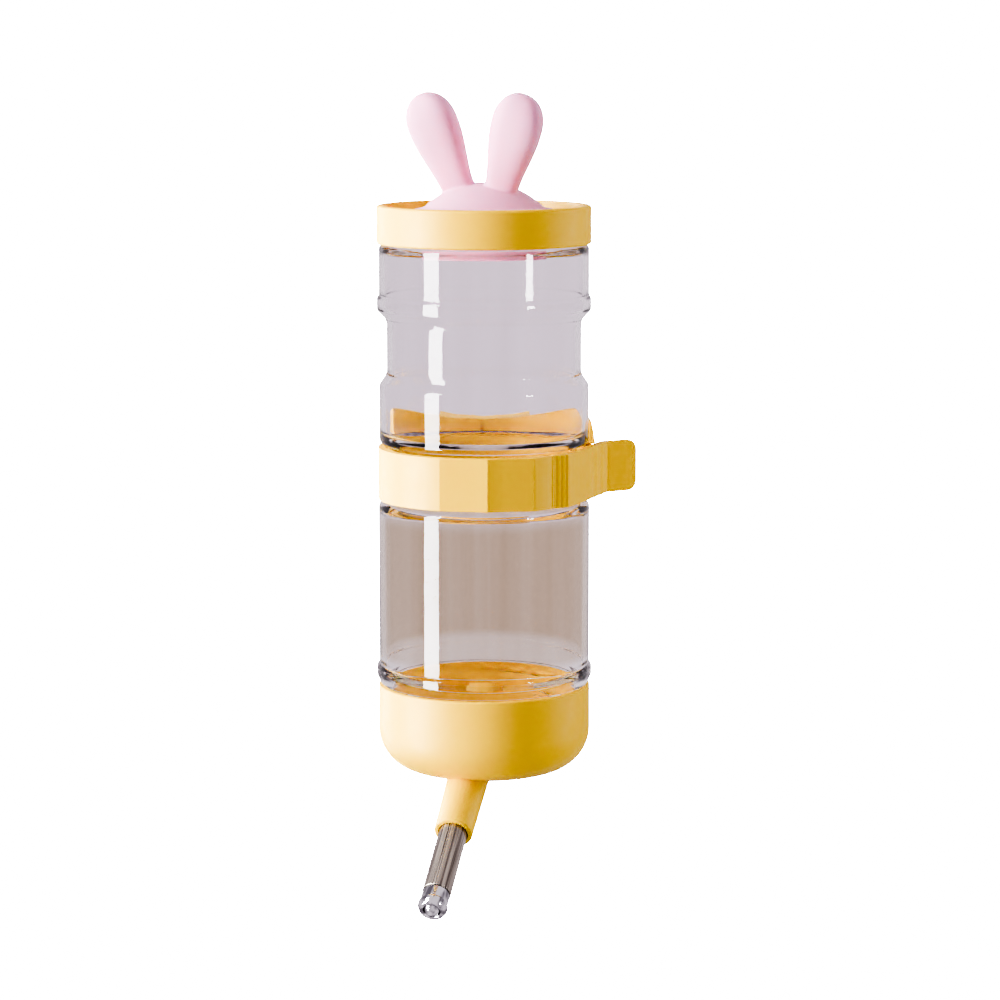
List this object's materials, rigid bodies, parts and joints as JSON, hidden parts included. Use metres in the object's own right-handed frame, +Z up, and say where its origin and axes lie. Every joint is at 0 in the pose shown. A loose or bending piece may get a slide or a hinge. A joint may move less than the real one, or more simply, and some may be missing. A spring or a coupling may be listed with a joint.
{
  "type": "small animal water bottle",
  "caption": "Clear refillable water bottle for a rabbit cage, with a screw lid, an eared silicone stopper, an angled ball-valve spout and a hinged ring that clamps to cage wires.",
  "frame": {"origin": "where the axis of the clamp screw crosses the saddle face of the bracket, the face that lies against the cage wires", "axes": "+Z up along the bottle, +Y from the bottle to the cage, +X towards the strap's thumb tab; the bottle's axis is at y = -44 mm"},
  "size_m": [0.0828, 0.1436, 0.2473],
  "materials": {
    "yellow_plastic": "soft satin moulded plastic, warm yellow",
    "clear_plastic": "clear glossy plastic with a faint lilac-grey tint",
    "pink_silicone": "matte pale pink silicone",
    "white_rubber": "matte off-white silicone rubber",
    "brushed_tube": "stainless tube, brushed along its length",
    "polished_steel": "polished stainless steel",
    "spring_steel": "drawn stainless wire"
  },
  "bodies": {
    "holder": {"bracket": "yellow_plastic", "bracket_pad": "yellow_plastic", "hinge_pin": "spring_steel", "clamp_screw": "yellow_plastic"},
    "strap": {"strap": "yellow_plastic", "strap_pad": "yellow_plastic"},
    "press": {"pressure_plate": "yellow_plastic", "flat_washer": "white_rubber"},
    "knob": {"clamp_knob": "yellow_plastic"},
    "bottle": {"bottle": "clear_plastic"},
    "lid_seal": {"lid_gasket": "white_rubber"},
    "lid": {"lid_ring": "yellow_plastic"},
    "stopper": {"ear_stopper": "pink_silicone"},
    "base_seal": {"base_gasket": "white_rubber"},
    "base": {"base_cap": "yellow_plastic", "tube_grommet": "white_rubber", "drink_tube": "brushed_tube", "tube_tip": "polished_steel", "ball_spring": "spring_steel", "spring_retainer": "spring_steel"},
    "ball": {"valve_ball": "polished_steel"}
  },
  "joints": [
    {"name": "strap_hinge", "type": "hinge", "parent": "holder", "child": "strap", "pos_m": [-0.03132, -0.03848, 0], "axis": [0, 0, -1], "range_deg": [0, 70]},
    {"name": "plate_slide", "type": "slide", "parent": "holder", "child": "press", "axis": [0, 1, 0], "range_m": [-0.0025, 0.006]},
    {"name": "knob_turn", "type": "hinge", "parent": "press", "child": "knob", "pos_m": [0, 0, 0], "axis": [0, 1, 0], "range_deg": [-300, 720]},
    {"name": "bottle_swivel", "type": "hinge", "parent": "holder", "child": "bottle", "pos_m": [0, -0.044, 0], "axis": [0, 0, 1], "continuous": true},
    {"name": "lid_lift", "type": "slide", "parent": "bottle", "child": "lid_seal", "axis": [0, 0, 1], "range_m": [0, 0.009]},
    {"name": "lid_turn", "type": "hinge", "parent": "lid_seal", "child": "lid", "pos_m": [0, -0.044, 0.08], "axis": [0, 0, 1], "range_deg": [0, 360]},
    {"name": "stopper_pull", "type": "slide", "parent": "lid", "child": "stopper", "axis": [0, 0, 1], "range_m": [0, 0.03]},
    {"name": "base_drop", "type": "slide", "parent": "bottle", "child": "base_seal", "axis": [0, 0, -1], "range_m": [0, 0.009]},
    {"name": "base_turn", "type": "hinge", "parent": "base_seal", "child": "base", "pos_m": [0, -0.044, -0.08], "axis": [0, 0, -1], "range_deg": [0, 360]},
    {"name": "ball_push", "type": "slide", "parent": "base", "child": "ball", "axis": [0.1887, 0.8239, 0.5344], "range_m": [0, 0.0012], "stiffness_N_per_m": 150, "springref_m": -0.004, "deforming": ["ball_spring"]}
  ],
  "couplings": [
    {"joint": "plate_slide", "follows": "knob_turn", "m_per_rad": 0.00047746},
    {"joint": "lid_lift", "follows": "lid_turn", "m_per_rad": 0.0014324},
    {"joint": "base_drop", "follows": "base_turn", "m_per_rad": 0.0014324}
  ]
}
